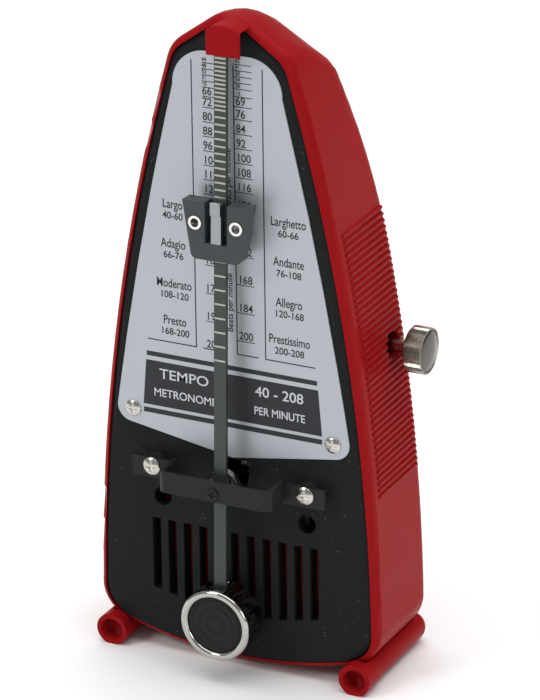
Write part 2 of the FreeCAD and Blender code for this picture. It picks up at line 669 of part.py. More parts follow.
def meshed(angle, teeth):
    """Facing angle that puts a gap of the driven gear on the line of centres."""
    return angle + math.pi + math.pi / number[teeth]


SHAFT_BORE = "shaft_r + fit_gap"
drum = rod("X", "barrel_left", "key_y", "key_z", "barrel_r", "great_x - barrel_left")
inside = rod("X", "barrel_left - 1", "key_y", "key_z", "barrel_r - barrel_wall",
             "great_x - barrel_left - barrel_wall + 1")
shaft_bore = rod("X", "barrel_left - 5", "key_y", "key_z", SHAFT_BORE, "30")
great = gear("great_x", "key_y", "key_z", "great_teeth", "gear_thick", None, one)
node("spring_barrel", cut(fuse(cut(drum, inside), great), shaft_bore))
cover = rod("X", "barrel_left - barrel_wall", "key_y", "key_z", "barrel_r", "barrel_wall")
node("barrel_cover", cut(cover, shaft_bore))


def spiral(first, step, thick, turns):
    """Flat coil in the YZ plane made of half circles, as a face."""
    inner, outer = [], []
    for i in range(turns * 2):
        sign = 1 if i % 2 == 0 else -1
        centre = sign * step / 4
        for edges, extra in ((inner, 0), (outer, thick)):
            radius = first + i * step / 2 + extra
            edges.append(Part.Arc(V(0, centre - sign * radius, 0), V(0, centre, sign * radius),
                                  V(0, centre + sign * radius, 0)).toShape())
    ends = []
    for i in (0, -1):
        place = inner[i].firstVertex(True) if i == 0 else inner[i].lastVertex(True)
        other = outer[i].firstVertex(True) if i == 0 else outer[i].lastVertex(True)
        ends.append(Part.makeLine(place.Point, other.Point))
    wire = Part.Wire(Part.__sortEdges__(inner + outer + ends))
    return Part.Face(wire)


coil = doc.addObject("Part::Feature", "Coil")
coil.Shape = spiral(value("shaft_r") + 0.5, 0.55, 0.25, 4).extrude(
    V(value("great_x - barrel_left - barrel_wall * 3"), 0, 0))
node("mainspring", bind(coil, x="barrel_left + barrel_wall", y="key_y", z="key_z"))

ARBOR_BORE = "train_arbor_r + fit_gap"
ARBOR_LONG = "frame_right - frame_left + frame_thick"
for name, y, z, leaves, leaf_x, angle, teeth, wheel_x, ahead in (
        ("second", SECOND_Y, SECOND_Z, "second_pinion", "great_x", one,
         "second_teeth", "second_x", two),
        ("third", THIRD_Y, THIRD_Z, "third_pinion", "second_x", two,
         "third_teeth", "third_x", three)):
    leaf = gear(leaf_x + " - leaf_over", y, z, leaves, "gear_thick + leaf_over * 2", None,
                meshed(angle, leaves))
    staff = rod("X", "frame_left", y, z, "train_arbor_r", ARBOR_LONG)
    node(name + "_arbor", fuse(leaf, staff))
    node(name + "_wheel", gear(wheel_x, y, z, teeth, "gear_thick", ARBOR_BORE, ahead))

leaf = gear("third_x - leaf_over", ESCAPE_Y, "pivot_z", "escape_pinion",
            "gear_thick + leaf_over * 2", None, meshed(three, "escape_pinion"))
web_x = "escape_x + escape_wide - gear_thick / 2"
staff = rod("X", web_x, ESCAPE_Y, "pivot_z", "train_arbor_r",
            "frame_right + frame_thick - (%s)" % web_x)
node("escape_arbor", fuse(leaf, staff))
ring = cut(rod("X", "escape_x", ESCAPE_Y, "pivot_z", "escape_r", "escape_wide"),
           rod("X", "escape_x - 1", ESCAPE_Y, "pivot_z", "escape_r - 0.9",
               "escape_wide + 1 - gear_thick / 2"))
notches = [rod("X", "escape_x", ESCAPE_Y, "pivot_z", ARBOR_BORE, "escape_wide * 2")]
for i in range(int(number["escape_teeth"])):
    notch = box("escape_x - 1", ESCAPE_Y, "pivot_z", "escape_wide / 2 + 1", "escape_r + 1",
                "escape_r * 1.5 / 6")
    notches.append(turn(notch, "%d * 360 / escape_teeth" % i, ALONG_X))
node("escape_wheel", cut(ring, fuse(*notches)))

flags = []
for side in ("-", "+"):
    y = "%s %s (escape_r - 0.45) - flag_long / 2" % (ESCAPE_Y, side)
    sleeve = rod("Y", "0", y, "pivot_z", "arbor_r + 0.7", "flag_long")
    blade = box("0", y, "pivot_z - 0.25", "flag_reach", "flag_long", "0.5")
    flags.append(fuse(sleeve, blade))
verge_bore = rod("Y", "0", "0", "pivot_z", "arbor_r + fit_gap", "foot_long")
node("verge_pallets", cut(fuse(*flags), verge_bore))

# ---------------------------------------------------------------- winding
node("winding_shaft", rod("X", "frame_left - 0.3", "key_y", "key_z", "shaft_r",
                          "knob_x - frame_left + knob_long * 0.65"))
dome_r = "((knob_r^2 + knob_dome^2) / (2 * knob_dome))"
dome = bind(doc.addObject("Part::Sphere", "Sphere"), y="key_y", z="key_z", Radius=dome_r,
            x="knob_x + knob_long - " + dome_r)
grip = common(rod("X", "knob_x", "key_y", "key_z", "knob_r", "knob_long"), dome)
node("winding_knob", cut(grip, rod("X", "knob_x - 1", "key_y", "key_z", SHAFT_BORE,
                                   "knob_long * 0.7 + 1")))
steps = []
count = int(number["ratchet_teeth"])
for i in range(count):
    angle = 2 * math.pi * i / count
    steps.append(polar(value("ratchet_r"), angle))
    steps.append(polar(value("ratchet_r") * 0.82, angle + 0.03))
saw = Part.Face(Part.makePolygon(steps + steps[:1])).extrude(V(0.9, 0, 0))
ratchet = doc.addObject("Part::Feature", "Saw")
ratchet.Shape = saw
bind(ratchet, x="ratchet_x", y="key_y", z="key_z")
node("ratchet_wheel", cut(ratchet, rod("X", "ratchet_x - 1", "key_y", "key_z", SHAFT_BORE,
                                       "4")))
span = "sqrt((key_y - click_y)^2 + (key_z - click_z)^2)"
arm = box("ratchet_x", "click_y", "click_z", "0.9", span + " - ratchet_r - click_gap", "1.2")
arm = turn(arm, "atan((key_z - click_z) / (key_y - click_y))", ALONG_X)
eye = rod("X", "ratchet_x", "click_y", "click_z", "1.8", "0.9")
pin_bore = rod("X", "ratchet_x - 1", "click_y", "click_z", "0.8 + fit_gap", "4")
node("click", cut(fuse(arm, eye), pin_bore))
node("click_spring", box("frame_left + frame_thick", "click_y - 3", "click_z + 3.2", "1.4",
                         "8", "0.3"))

# ---------------------------------------------------------------- movement frame
for name, x in (("frame_plate_left", "frame_left"), ("frame_plate_right", "frame_right")):
    sheet_plate = box(x, "panel_back", "frame_low", "frame_thick", "frame_back - panel_back",
                      "frame_top - frame_low")
    bores = [rod("X", x + " - 1", "key_y", "key_z", SHAFT_BORE, "frame_thick + 2"),
             rod("X", x + " - 1", SECOND_Y, SECOND_Z, ARBOR_BORE, "frame_thick + 2"),
             rod("X", x + " - 1", THIRD_Y, THIRD_Z, ARBOR_BORE, "frame_thick + 2")]
    solid = sheet_plate
    if name == "frame_plate_left":
        solid = fuse(sheet_plate, rod("X", "frame_left + frame_thick", "click_y", "click_z",
                                      "0.8", "1.5"))
    else:
        bores.append(rod("X", x + " - 1", ESCAPE_Y, "pivot_z", ARBOR_BORE, "frame_thick + 2"))
    node(name, cut(solid, fuse(*bores)))
inner_x = "frame_left + frame_thick"
inner_long = "frame_right - frame_left - frame_thick"
node("frame_pillars", fuse(*[rod("X", inner_x, y, z, "pillar_r", inner_long) for y, z in (
    ("panel_back + 4.3", "frame_top - 3"), ("frame_back - 2", "frame_top - 3"),
    ("panel_back + 5.8", "frame_low + 2"), ("frame_back - 2.4", "frame_low + 2"))]))
strap = box(inner_x, "arbor_back_y - 1.1", "pivot_z - 2.9", inner_long, "1.5", "5.8")
node("rear_bearing", cut(strap, rod("Y", "0", "arbor_back_y - 3", "pivot_z",
                                    "arbor_r + fit_gap", "6")))
arm = box("potence_x", ESCAPE_Y + " - 2.6", "pivot_z - 2.9", "1.2",
          "arbor_back_y - 1.1 - %s + 2.6" % ESCAPE_Y, "5.8")
node("potence", cut(arm, rod("X", "potence_x - 1", ESCAPE_Y, "pivot_z", ARBOR_BORE, "4")))

# ---------------------------------------------------------------- common shift and export
SHIFT_X = "(knob_x + knob_long - hip_x) / 2"
SHIFT_Y = "(foot_long + cup_front_y) / 2"
for name, thing, tilted in nodes:
    start = {key: places.get((thing.Name, key), "0") for key in ("x", "y", "z")}
    if tilted:
        start["y"], start["z"] = "rod_front_y", "pivot_z"
        turn(thing, "tilt", V(-1, 0, 0))
    bind(thing, x="(%s) - %s" % (start["x"], SHIFT_X), y="(%s) - %s" % (start["y"], SHIFT_Y),
         z=start["z"])
doc.removeObject("Probe")
doc.recompute()
for thing in doc.Objects:
    if {"Invalid", "Error"} & set(thing.State):
        raise RuntimeError("%s (%s) did not compute" % (thing.Name, thing.Label))
for name, thing, _ in nodes:
    if thing.Shape.isNull() or not thing.Shape.isValid():
        raise RuntimeError("%s has no valid shape" % name)
    thing.Shape.exportStep("parts/%s.step" % name)
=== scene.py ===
import math

import bmesh
import bpy
from bpy.props import FloatProperty, FloatVectorProperty, IntProperty, PointerProperty
from mathutils import Matrix, Vector
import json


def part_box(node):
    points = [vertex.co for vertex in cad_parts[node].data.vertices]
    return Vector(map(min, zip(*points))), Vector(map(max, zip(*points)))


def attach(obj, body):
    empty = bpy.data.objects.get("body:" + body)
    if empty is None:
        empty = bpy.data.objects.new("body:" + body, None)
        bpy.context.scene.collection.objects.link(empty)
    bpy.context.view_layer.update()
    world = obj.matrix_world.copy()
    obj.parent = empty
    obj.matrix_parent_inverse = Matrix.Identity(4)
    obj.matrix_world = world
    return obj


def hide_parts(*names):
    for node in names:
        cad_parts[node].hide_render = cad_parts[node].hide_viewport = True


bl_info = {
    "name": "Wind-up Metronome",
    "version": (1, 0, 0),
    "blender": (4, 5, 0),
    "location": "View3D > Sidebar > Metronome",
    "description": "Finishes, printing and fine detail for the metronome frame",
    "category": "Object",
}

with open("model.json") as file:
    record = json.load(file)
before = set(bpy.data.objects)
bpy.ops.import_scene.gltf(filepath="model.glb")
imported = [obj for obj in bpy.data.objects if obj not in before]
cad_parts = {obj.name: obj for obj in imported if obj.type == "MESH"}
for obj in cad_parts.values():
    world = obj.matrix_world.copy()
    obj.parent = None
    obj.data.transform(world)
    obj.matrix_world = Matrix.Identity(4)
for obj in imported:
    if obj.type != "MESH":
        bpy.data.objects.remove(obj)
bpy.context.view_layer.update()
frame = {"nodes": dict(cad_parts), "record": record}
RECORD = frame["record"]
SLOT_OF = {part["node"]: part["material_slot"] for part in RECORD["subparts"]}
BODY_OF = {node: body for body, names in RECORD["behaviour"]["bodies"].items()
           for node in names}
MM = 0.001
COAT_ROUGHNESS = 0.06
MERGE_DISTANCE = 2e-6
ROD_LEAN = math.radians(2.03)


# ------------------------------------------------------------------ settings

class MetronomeFinishes(bpy.types.PropertyGroup):
    """Colours a user would change."""

    case_red: FloatVectorProperty(
        name="Case red", description="Colour of the moulded case", subtype="COLOR", size=3,
        min=0, max=1, default=(0.29, 0.006, 0.008))
    panel_black: FloatVectorProperty(
        name="Panel black", description="Colour of the front panel", subtype="COLOR", size=3,
        min=0, max=1, default=(0.012, 0.0135, 0.014))
    plate_silver: FloatVectorProperty(
        name="Plate silver", description="Colour of the scale plate", subtype="COLOR", size=3,
        min=0, max=1, default=(0.44, 0.47, 0.51))
    weight_slate: FloatVectorProperty(
        name="Weight slate", description="Paint on the sliding weight", subtype="COLOR",
        size=3, min=0, max=1, default=(0.055, 0.062, 0.066))


class MetronomeSizes(bpy.types.PropertyGroup):
    """Sizes of the printing and the fine detail."""

    line_width: FloatProperty(
        name="Line width", description="Printed line on the scale plate", unit="LENGTH",
        default=0.28 * MM, min=0.05 * MM)
    frame_half: FloatProperty(
        name="Frame half width", description="Middle of the plate to a long printed line",
        unit="LENGTH", default=8.85 * MM)
    wing: FloatProperty(
        name="Wing", description="Middle of the plate to the end of the low printed line",
        unit="LENGTH", default=21.4 * MM)
    print_top: FloatProperty(
        name="Printing top", description="Height of the top of the long lines",
        unit="LENGTH", default=148.9 * MM)
    print_low: FloatProperty(
        name="Printing low", description="Height of the low ends of the long lines",
        unit="LENGTH", default=79.6 * MM)
    beat_zero: FloatProperty(
        name="Scale zero", description="Height on the scale of a tempo of zero",
        unit="LENGTH", default=169.0 * MM)
    beat_step: FloatProperty(
        name="Scale step", description="Drop for one more beat a minute", unit="LENGTH",
        default=0.43 * MM)
    notch_pitch: FloatProperty(
        name="Notch pitch", description="Step between wide notches on the rod",
        unit="LENGTH", default=3.4 * MM)
    knurl_ridges: IntProperty(
        name="Knurl ridges", description="Straight ridges round the winding knob",
        default=84, min=12, max=160)
    knurl_deep: FloatProperty(
        name="Knurl depth", description="Depth of the grooves in the winding knob",
        unit="LENGTH", default=0.28 * MM)


class MetronomeStage(bpy.types.PropertyGroup):
    """Camera."""

    azimuth: FloatProperty(name="Azimuth", description="Camera turn from straight ahead",
                           subtype="ANGLE", default=math.radians(26.64))
    elevation: FloatProperty(name="Elevation", description="Camera height angle",
                             subtype="ANGLE", default=math.radians(22.63))
    roll: FloatProperty(name="Roll", description="Camera roll", subtype="ANGLE",
                        default=math.radians(-0.70))
    distance: FloatProperty(name="Distance", description="Camera to aim point",
                            unit="LENGTH", default=0.9552)
    lens: FloatProperty(name="Lens", description="Focal length on a 36 mm sensor",
                        default=213.8)
    aim: FloatVectorProperty(name="Aim", description="Point the camera looks at",
                             subtype="XYZ", size=3, default=(0.00235, -0.0003, 0.0772))


# ------------------------------------------------------------------ material helpers

def node_group(name, inputs, outputs):
    """A shader group with named number inputs and named outputs."""
    group = bpy.data.node_groups.new(name, "ShaderNodeTree")
    for label, default in inputs:
        socket = group.interface.new_socket(label, in_out="INPUT", socket_type="NodeSocketFloat")
        socket.default_value = default
    for label in outputs:
        group.interface.new_socket(label, in_out="OUTPUT", socket_type="NodeSocketFloat")
    return group, group.nodes.new("NodeGroupInput"), group.nodes.new("NodeGroupOutput")


def noise(tree, scale, detail=2.0, rough=0.5):
    node = tree.nodes.new("ShaderNodeTexNoise")
    node.inputs["Scale"].default_value = scale
    node.inputs["Detail"].default_value = detail
    node.inputs["Roughness"].default_value = rough
    return node


def spread(tree, source, low, high, start=0.3, end=0.7):
    """Map Range from a noise's usual spread to a wanted one."""
    node = tree.nodes.new("ShaderNodeMapRange")
    node.inputs["From Min"].default_value = start
    node.inputs["From Max"].default_value = end
    node.inputs["To Min"].default_value = low
    node.inputs["To Max"].default_value = high
    tree.links.new(source, node.inputs["Value"])
    return node.outputs["Result"]


def handling_marks():
    """Broad and fine unevenness in gloss, as on a thing that is picked up."""
    group, given, out = node_group("Handling Marks", [("Low", 0.2), ("High", 0.4),
                                                      ("Scale", 90.0)], ["Roughness", "Mask"])
    place = group.nodes.new("ShaderNodeTexCoord")
    broad = noise(group, 90, 5, 0.6)
    group.links.new(place.outputs["Object"], broad.inputs["Vector"])
    group.links.new(given.outputs["Scale"], broad.inputs["Scale"])
    ranged = group.nodes.new("ShaderNodeMapRange")
    ranged.inputs["From Min"].default_value = 0.35
    ranged.inputs["From Max"].default_value = 0.7
    group.links.new(broad.outputs["Fac"], ranged.inputs["Value"])
    group.links.new(given.outputs["Low"], ranged.inputs["To Min"])
    group.links.new(given.outputs["High"], ranged.inputs["To Max"])
    group.links.new(ranged.outputs["Result"], out.inputs["Roughness"])
    group.links.new(broad.outputs["Fac"], out.inputs["Mask"])
    return group


def moulded_grain():
    """Fine spark-eroded grain of moulded plastic, as a height and a speck mask."""
    group, given, out = node_group("Moulded Grain", [("Grain", 2200.0), ("Specks", 900.0)],
                                   ["Height", "Speck"])
    place = group.nodes.new("ShaderNodeTexCoord")
    fine = noise(group, 2200, 3, 0.65)
    group.links.new(place.outputs["Object"], fine.inputs["Vector"])
    group.links.new(given.outputs["Grain"], fine.inputs["Scale"])
    group.links.new(fine.outputs["Fac"], out.inputs["Height"])
    specks = group.nodes.new("ShaderNodeTexVoronoi")
    group.links.new(place.outputs["Object"], specks.inputs["Vector"])
    group.links.new(given.outputs["Specks"], specks.inputs["Scale"])
    near = group.nodes.new("ShaderNodeMapRange")
    near.inputs["From Min"].default_value = 0.13
    near.inputs["From Max"].default_value = 0.04
    group.links.new(specks.outputs["Distance"], near.inputs["Value"])
    rare = noise(group, 260, 2)
    group.links.new(place.outputs["Object"], rare.inputs["Vector"])
    patch = group.nodes.new("ShaderNodeMapRange")
    patch.inputs["From Min"].default_value = 0.5
    patch.inputs["From Max"].default_value = 0.64
    group.links.new(rare.outputs["Fac"], patch.inputs["Value"])
    both = group.nodes.new("ShaderNodeMath")
    both.operation = "MULTIPLY"
    group.links.new(near.outputs["Result"], both.inputs[0])
    group.links.new(patch.outputs["Result"], both.inputs[1])
    group.links.new(both.outputs["Value"], out.inputs["Speck"])
    return group


def drawn_lines():
    """Brushed or drawn lines that run along Z, as a height and a value."""
    group, given, out = node_group("Drawn Lines", [("Across", 2600.0), ("Along", 25.0)],
                                   ["Height", "Value"])
    place = group.nodes.new("ShaderNodeTexCoord")
    parts = group.nodes.new("ShaderNodeSeparateXYZ")
    joined = group.nodes.new("ShaderNodeCombineXYZ")
    group.links.new(place.outputs["Object"], parts.inputs["Vector"])
    for axis, scale in (("X", "Across"), ("Y", "Across"), ("Z", "Along")):
        times = group.nodes.new("ShaderNodeMath")
        times.operation = "MULTIPLY"
        group.links.new(parts.outputs[axis], times.inputs[0])
        group.links.new(given.outputs[scale], times.inputs[1])
        group.links.new(times.outputs["Value"], joined.inputs[axis])
    lines = noise(group, 1.0, 3, 0.6)
    group.links.new(joined.outputs["Vector"], lines.inputs["Vector"])
    group.links.new(lines.outputs["Fac"], out.inputs["Height"])
    group.links.new(lines.outputs["Fac"], out.inputs["Value"])
    return group


GROUPS = {}


def group_in(tree, name, **values):
    """Place a shared group in a material's tree with its own values."""
    if name not in GROUPS:
        GROUPS[name] = {"Handling Marks": handling_marks, "Moulded Grain": moulded_grain,
                        "Drawn Lines": drawn_lines}[name]()
    node = tree.nodes.new("ShaderNodeGroup")
    node.node_tree = GROUPS[name]
    for key, number in values.items():
        node.inputs[key].default_value = number
    return node


def finish(name, color, metallic=0.0, coat=0.0, specular=0.5):
    """A Principled material; returns material, tree and shader."""
    material = bpy.data.materials.new(name)
    material.use_nodes = True
    material.diffuse_color = (*color, 1)
    shader = material.node_tree.nodes["Principled BSDF"]
    shader.inputs["Base Color"].default_value = (*color, 1)
    shader.inputs["Metallic"].default_value = metallic
    shader.inputs["Coat Weight"].default_value = coat
    shader.inputs["Coat Roughness"].default_value = COAT_ROUGHNESS
    shader.inputs["Specular IOR Level"].default_value = specular
    return material, material.node_tree, shader


def marks(tree, shader, low, high, scale=90.0):
    """Uneven gloss on a shader."""
    node = group_in(tree, "Handling Marks", Low=low, High=high, Scale=scale)
    tree.links.new(node.outputs["Roughness"], shader.inputs["Roughness"])
    return node


def bump(tree, shader, height, strength, distance):
    node = tree.nodes.new("ShaderNodeBump")
    node.inputs["Strength"].default_value = strength
    node.inputs["Distance"].default_value = distance
    tree.links.new(height, node.inputs["Height"])
    tree.links.new(node.outputs["Normal"], shader.inputs["Normal"])


def tint(tree, shader, mask, dark, light):
    """Base colour that wanders between two close colours."""
    mix = tree.nodes.new("ShaderNodeMix")
    mix.data_type = "RGBA"
    mix.inputs["A"].default_value = (*dark, 1)
    mix.inputs["B"].default_value = (*light, 1)
    tree.links.new(mask, mix.inputs["Factor"])
    tree.links.new(mix.outputs["Result"], shader.inputs["Base Color"])


def scaled(color, factor):
    return tuple(min(1.0, part * factor) for part in color)


def red_plastic(color):
    material, tree, shader = finish("Red Moulded Plastic", color, specular=0.04)
    worn = marks(tree, shader, 0.26, 0.38, 60)
    tint(tree, shader, worn.outputs["Mask"], scaled(color, 0.9), scaled(color, 1.08))
    grain = group_in(tree, "Moulded Grain", Grain=1500, Specks=500)
    bump(tree, shader, grain.outputs["Height"], 0.06, 0.00004)
    return material


def black_panel(color):
    material, tree, shader = finish("Grained Black Plastic", color, specular=0.08)
    marks(tree, shader, 0.48, 0.62, 120)
    grain = group_in(tree, "Moulded Grain", Grain=1500, Specks=700)
    tint(tree, shader, grain.outputs["Speck"], color, (0.16, 0.165, 0.17))
    bump(tree, shader, grain.outputs["Height"], 0.35, 0.00012)
    return material


def silver_plate(color):
    material, tree, shader = finish("Brushed Silver Plate", color, metallic=0.55)
    lines = group_in(tree, "Drawn Lines", Across=3200, Along=30)
    tree.links.new(spread(tree, lines.outputs["Value"], 0.36, 0.52),
                   shader.inputs["Roughness"])
    tint(tree, shader, lines.outputs["Value"], scaled(color, 0.95), scaled(color, 1.05))
    bump(tree, shader, lines.outputs["Height"], 0.04, 0.00003)
    return material


def drawn_steel(name, color, low, high, metallic=1.0):
    material, tree, shader = finish(name, color, metallic=metallic)
    lines = group_in(tree, "Drawn Lines", Across=2600, Along=40)
    tree.links.new(spread(tree, lines.outputs["Value"], low, high),
                   shader.inputs["Roughness"])
    tint(tree, shader, lines.outputs["Value"], scaled(color, 0.85), scaled(color, 1.1))
    bump(tree, shader, lines.outputs["Height"], 0.08, 0.00003)
    return material


def plated(name, color, low, high):
    material, tree, shader = finish(name, color, metallic=1.0)
    worn = marks(tree, shader, low, high, 220)
    tint(tree, shader, worn.outputs["Mask"], scaled(color, 0.92), color)
    return material


def painted(name, color, low, high, coat=0.0):
    material, tree, shader = finish(name, color, coat=coat, specular=0.15)
    marks(tree, shader, low, high, 300)
    grain = group_in(tree, "Moulded Grain", Grain=2600, Specks=900)
    tint(tree, shader, grain.outputs["Speck"], color, scaled(color, 1.8))
    bump(tree, shader, grain.outputs["Height"], 0.12, 0.00005)
    return material


def printing_ink(name, color):
    material, tree, shader = finish(name, color, specular=0.3)
    worn = marks(tree, shader, 0.4, 0.55, 400)
    tint(tree, shader, worn.outputs["Mask"], scaled(color, 0.9), scaled(color, 1.15))
    return material


MATERIALS = {}


def material_for(slot):
    return MATERIALS[slot]


# ------------------------------------------------------------------ mesh helpers

def dress(obj, material):
    obj.data.materials.clear()
    obj.data.materials.append(material)
    return obj


def new_piece(name, mesh, body, slot, material=None):
    """Put a finished mesh in the scene, riding on its body."""
    obj = bpy.data.objects.new(name, mesh)
    bpy.context.scene.collection.objects.link(obj)
    dress(obj, material or material_for(slot))
    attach(obj, body)
    return obj


def baked(obj):
    """Plain mesh of an object with its modifiers, which are then removed."""
    bpy.context.view_layer.update()
    graph = bpy.context.evaluated_depsgraph_get()
    mesh = bpy.data.meshes.new_from_object(obj.evaluated_get(graph))
    obj.modifiers.clear()
    return mesh


def modified(mesh, kind, **settings):
    """Plain mesh of a mesh with one modifier on it."""
    holder = bpy.data.objects.new(mesh.name + "_holder", mesh)
    bpy.context.scene.collection.objects.link(holder)
    modifier = holder.modifiers.new(kind, kind)
    for key, setting in settings.items():
        setattr(modifier, key, setting)
    result = baked(holder)
    bpy.data.objects.remove(holder)
    return result


def skin(node, bevel=0.0, segments=2, angle=32):
    """Smooth-shaded copy of a CAD node, with softened edges where asked."""
    source = frame["nodes"][node]
    shape = bmesh.new()
    shape.from_mesh(source.data)
    bmesh.ops.remove_doubles(shape, verts=shape.verts, dist=MERGE_DISTANCE)
    if bevel:
        flat = math.radians(1)
        bmesh.ops.dissolve_limit(shape, angle_limit=flat, verts=shape.verts,
                                 edges=shape.edges, delimit={"NORMAL"})
    mesh = bpy.data.meshes.new(node + "_skin")
    shape.to_mesh(mesh)
    shape.free()
    sharp = math.radians(angle)
    if bevel:
        mesh = modified(mesh, "BEVEL", width=bevel, segments=segments,
                        limit_method="ANGLE", angle_limit=sharp)
    mesh.polygons.foreach_set("use_smooth", [True] * len(mesh.polygons))
    mesh.set_sharp_from_angle(angle=sharp)
    mesh = modified(mesh, "WEIGHTED_NORMAL", keep_sharp=True, weight=100)
    piece = new_piece(node + "_skin", mesh, BODY_OF[node], SLOT_OF[node])
    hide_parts(node)
    return piece


def plate_front():
    """Y of the scale plate's face, and X of its middle."""
    low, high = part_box("scale_plate")
    return low.y, (low.x + high.x) / 2


def slabs(name, rects, body, slot, material, lift=0.02 * MM):
    """Thin printed bars on the scale plate: (left, right, low, high) from the middle."""
    face, centre = plate_front()
    mesh = bpy.data.meshes.new(name)
    shape = bmesh.new()
    for left, right, low, high in rects:
        size = Vector((right - left, lift, high - low))
        place = Vector((centre + (left + right) / 2, face - lift / 2, (low + high) / 2))
        bmesh.ops.create_cube(shape, size=1, matrix=Matrix.Translation(place)
                              @ Matrix.Diagonal((*size, 1)))
    shape.to_mesh(mesh)
    shape.free()
    return new_piece(name, mesh, body, slot, material)


def letters(name, rows, body, slot, material, lift=0.03 * MM, heavy=0.03):
    """Text on the scale plate: (words, x, z, height, width share, align, turned).

    heavy is how far the strokes are thickened, in mm.
    """
    face, centre = plate_front()
    shape = bmesh.new()
    for words, x, z, height, narrow, align, turned in rows:
        curve = bpy.data.curves.new("words", "FONT")
        curve.body = words
        curve.size = height / 0.72
        curve.offset = heavy * MM
        curve.align_x = align
        curve.align_y = "CENTER"
        holder = bpy.data.objects.new("words", curve)
        bpy.context.scene.collection.objects.link(holder)
        text = baked(holder)
        bpy.data.objects.remove(holder)
        spin = Matrix.Rotation(math.radians(90 if turned else 0), 4, "Z")
        stand = Matrix.Rotation(math.radians(90), 4, "X")
        place = Matrix.Translation((centre + x, face - lift, z))
        text.transform(place @ stand @ spin @ Matrix.Diagonal((narrow, 1, 1, 1)))
        shape.from_mesh(text)
        bpy.data.meshes.remove(text)
    mesh = bpy.data.meshes.new(name)
    shape.to_mesh(mesh)
    shape.free()
    return new_piece(name, mesh, body, slot, material)


# ------------------------------------------------------------------ geometry nodes

def tree_with(name, inputs):
    """Geometry Nodes tree with one geometry in and out and named inputs."""
    tree = bpy.data.node_groups.new(name, "GeometryNodeTree")
    face = tree.interface
    face.new_socket("Geometry", in_out="INPUT", socket_type="NodeSocketGeometry")
    for label, kind, default in inputs:
        socket = face.new_socket(label, in_out="INPUT", socket_type="NodeSocket" + kind)
        if default is not None:
            socket.default_value = default
    face.new_socket("Geometry", in_out="OUTPUT", socket_type="NodeSocketGeometry")
    return tree, tree.nodes.new("NodeGroupInput"), tree.nodes.new("NodeGroupOutput")


def closed_off(tree, last, given, out):
    """Realize the instances and set the material, as every tree here ends."""
    real = tree.nodes.new("GeometryNodeRealizeInstances")
    coat = tree.nodes.new("GeometryNodeSetMaterial")
    tree.links.new(last, real.inputs["Geometry"])
    tree.links.new(real.outputs["Geometry"], coat.inputs["Geometry"])
    tree.links.new(given.outputs["Material"], coat.inputs["Material"])
    tree.links.new(coat.outputs["Geometry"], out.inputs["Geometry"])


def grown(name, tree, values, points=None):
    """Run a tree on a mesh of points and give back its plain mesh."""
    mesh = bpy.data.meshes.new(name)
    mesh.from_pydata(points or [(0, 0, 0)], [], [])
    holder = bpy.data.objects.new(name, mesh)
    bpy.context.scene.collection.objects.link(holder)
    modifier = holder.modifiers.new("Nodes", "NODES")
    modifier.node_group = tree
    for item in tree.interface.items_tree:
        if item.in_out == "INPUT" and item.name in values:
            modifier[item.identifier] = values[item.name]
    result = baked(holder)
    bpy.data.objects.remove(holder)
    return result


def bars_on_points():
    """A small bar on every point, for scale ticks and rod notches."""
    tree, given, out = tree_with("Bars On Points", [
        ("Size", "Vector", (0.001, 0.0001, 0.0001)), ("Material", "Material", None)])
    bar = tree.nodes.new("GeometryNodeMeshCube")
    copies = tree.nodes.new("GeometryNodeInstanceOnPoints")
    tree.links.new(given.outputs["Size"], bar.inputs["Size"])
    tree.links.new(given.outputs["Geometry"], copies.inputs["Points"])
    tree.links.new(bar.outputs["Mesh"], copies.inputs["Instance"])
    closed_off(tree, copies.outputs["Instances"], given, out)
    return tree


def ridges_round():
    """Straight ridges round an axis along Z, for the knurled knob."""
    tree, given, out = tree_with("Ridges Round", [
        ("Count", "Int", 60), ("Radius", "Float", 0.005), ("Length", "Float", 0.004),
        ("Depth", "Float", 0.0002), ("Width", "Float", 0.0003),
        ("Material", "Material", None)])
    ring = tree.nodes.new("GeometryNodeMeshCircle")
    ridge = tree.nodes.new("GeometryNodeMeshCylinder")
    ridge.inputs["Vertices"].default_value = 6
    place = tree.nodes.new("GeometryNodeInstanceOnPoints")
    squash = tree.nodes.new("ShaderNodeCombineXYZ")
    aim = tree.nodes.new("FunctionNodeAlignEulerToVector")
    aim.axis = "X"
    spot = tree.nodes.new("GeometryNodeInputPosition")
    links = tree.links.new
    links(given.outputs["Count"], ring.inputs["Vertices"])
    links(given.outputs["Radius"], ring.inputs["Radius"])
    ridge.inputs["Radius"].default_value = 1.0
    links(given.outputs["Length"], ridge.inputs["Depth"])
    links(given.outputs["Depth"], squash.inputs["X"])
    links(given.outputs["Width"], squash.inputs["Y"])
    squash.inputs["Z"].default_value = 1.0
    links(squash.outputs["Vector"], place.inputs["Scale"])
    links(spot.outputs["Position"], aim.inputs["Vector"])
    links(aim.outputs["Rotation"], place.inputs["Rotation"])
    links(ring.outputs["Mesh"], place.inputs["Points"])
    links(ridge.outputs["Mesh"], place.inputs["Instance"])
    closed_off(tree, place.outputs["Instances"], given, out)
    return tree


# ------------------------------------------------------------------ operators

